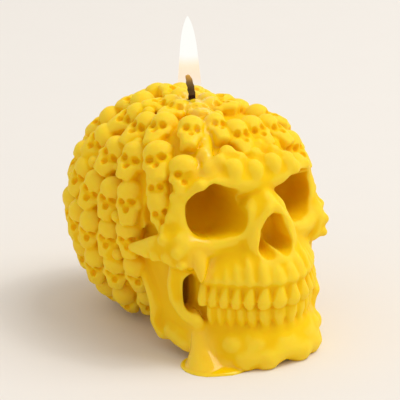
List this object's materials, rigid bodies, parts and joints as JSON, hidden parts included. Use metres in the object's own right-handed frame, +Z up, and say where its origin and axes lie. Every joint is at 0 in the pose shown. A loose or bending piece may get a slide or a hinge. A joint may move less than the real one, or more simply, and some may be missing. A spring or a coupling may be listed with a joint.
{
  "type": "skull candle",
  "caption": "Lit beeswax candle cast as a human skull, its cranium covered in rows of small skulls, with a charred wick, a flame, wax runs and a puddle.",
  "frame": {"origin": "the flat underside, on the skull's midline, 7.7 mm in front of the wick", "axes": "+Z up, the face looks along -Y, +X towards the skull's left side"},
  "size_m": [0.0742, 0.1056, 0.1054],
  "materials": {
    "wax": "satin yellow beeswax",
    "wick": "charred cotton",
    "flame": "glowing"
  },
  "bodies": {
    "root": {"wax_skull": "wax", "wick": "wick", "flame": "flame"}
  },
  "joints": []
}
